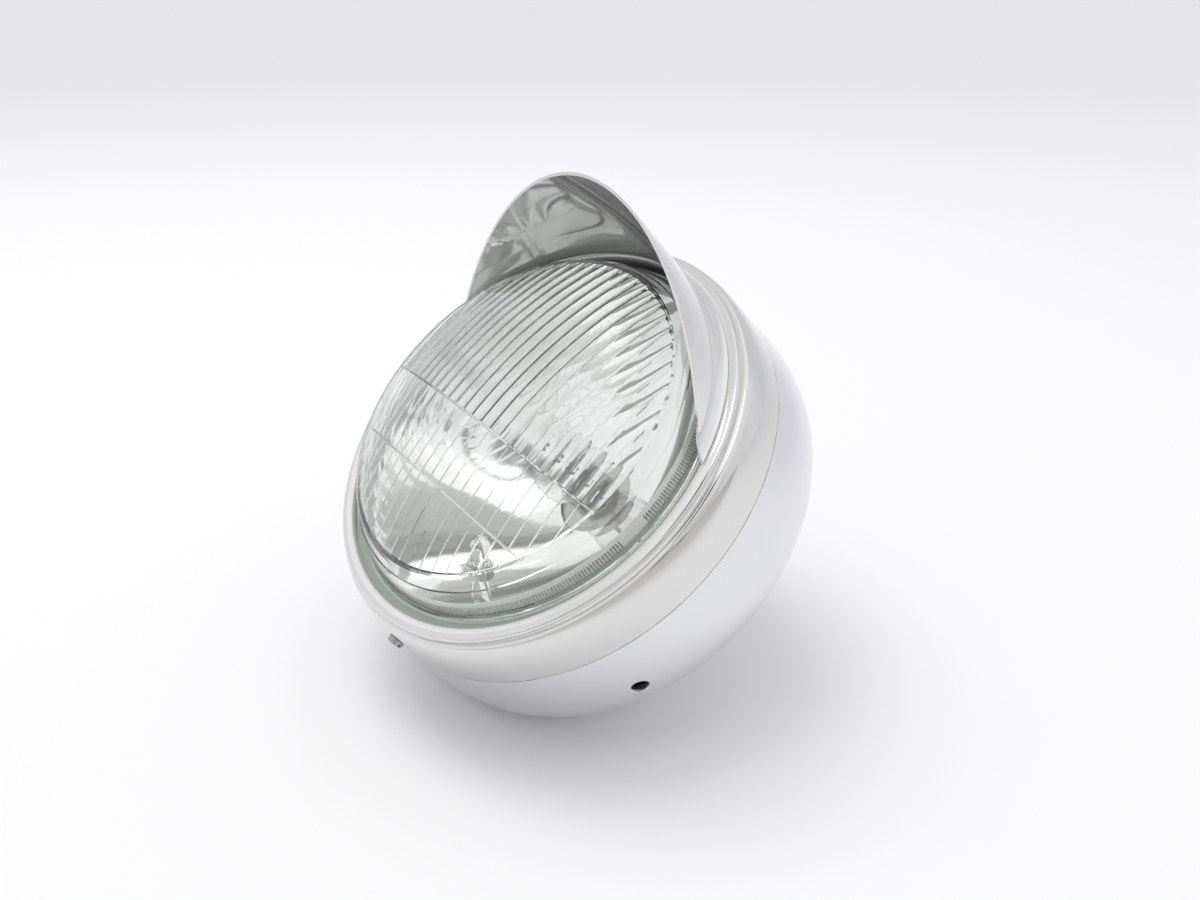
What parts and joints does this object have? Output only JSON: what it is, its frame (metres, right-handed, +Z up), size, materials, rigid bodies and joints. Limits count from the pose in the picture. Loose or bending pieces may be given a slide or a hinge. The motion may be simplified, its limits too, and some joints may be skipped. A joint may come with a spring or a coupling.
{
  "type": "motorcycle headlight",
  "caption": "Chromed round motorcycle headlight with a peaked rim, a fluted glass lens, a bright reflector, and main and pilot lamps in a deep bowl.",
  "frame": {"origin": "on the optical axis, in the plane of the two bracket holes in the bowl", "axes": "the lamp shines along -Y, +Z up, +X to the right of a viewer who faces the lens"},
  "size_m": [0.2006, 0.1503, 0.2006],
  "materials": {
    "chrome_shell": "polished, light wear",
    "screw_chrome": "dulled",
    "mirror_coat": "vacuum coated",
    "lens_glass": "moulded, clear",
    "bulb_clear": "clear",
    "plated_steel": "zinc plated",
    "spring_steel": "spring temper",
    "tungsten": "matt",
    "cap_brass": "dull",
    "black_rubber": "matt",
    "pale_rubber": "matt",
    "brown_plastic": "moulded"
  },
  "bodies": {
    "bowl": {"bucket": "chrome_shell", "mount_doublers": "plated_steel", "cable_grommet": "black_rubber"},
    "rim_unit": {"rim": "chrome_shell", "rim_hook": "plated_steel", "visor": "chrome_shell", "lens": "lens_glass", "lens_seal": "pale_rubber", "reflector": "mirror_coat", "unit_clips": "spring_steel", "bulb_collar": "plated_steel", "bulb_flange": "plated_steel", "bulb_cap": "plated_steel", "bulb_glass": "bulb_clear", "bulb_stem": "bulb_clear", "bulb_filaments": "tungsten"},
    "screw": {"rim_screw": "screw_chrome"},
    "plate": {"clamp_plate": "plated_steel"},
    "bulb_holder": {"holder_shell": "plated_steel", "contact_disc": "brown_plastic", "contact_blades": "cap_brass", "contact_plungers": "cap_brass"},
    "pilot_lamp": {"pilot_holder": "plated_steel", "pilot_cap": "cap_brass", "pilot_glass": "bulb_clear", "pilot_contact": "cap_brass"}
  },
  "joints": [
    {"name": "rim_swing", "type": "hinge", "parent": "bowl", "child": "rim_unit", "pos_m": [0, -0.0245, 0.0975], "axis": [-1, 0, 0], "range_deg": [0, 25]},
    {"name": "screw_turn", "type": "hinge", "parent": "rim_unit", "child": "screw", "pos_m": [0.00497, -0.0293, -0.09487], "axis": [0.0523, 0, -0.9986], "range_deg": [0, 1440]},
    {"name": "plate_slide", "type": "slide", "parent": "rim_unit", "child": "plate", "axis": [-0.0523, 0, 0.9986], "range_m": [0, 0.0032]},
    {"name": "holder_turn", "type": "hinge", "parent": "rim_unit", "child": "bulb_holder", "pos_m": [0, 0.02, 0], "axis": [0, 1, 0], "range_deg": [0, 20]},
    {"name": "pilot_pull", "type": "slide", "parent": "rim_unit", "child": "pilot_lamp", "axis": [0, 0.7071, -0.7071], "range_m": [0, 0.02]}
  ],
  "couplings": [
    {"joint": "screw_turn", "follows": "plate_slide", "rad_per_m": 7854}
  ]
}
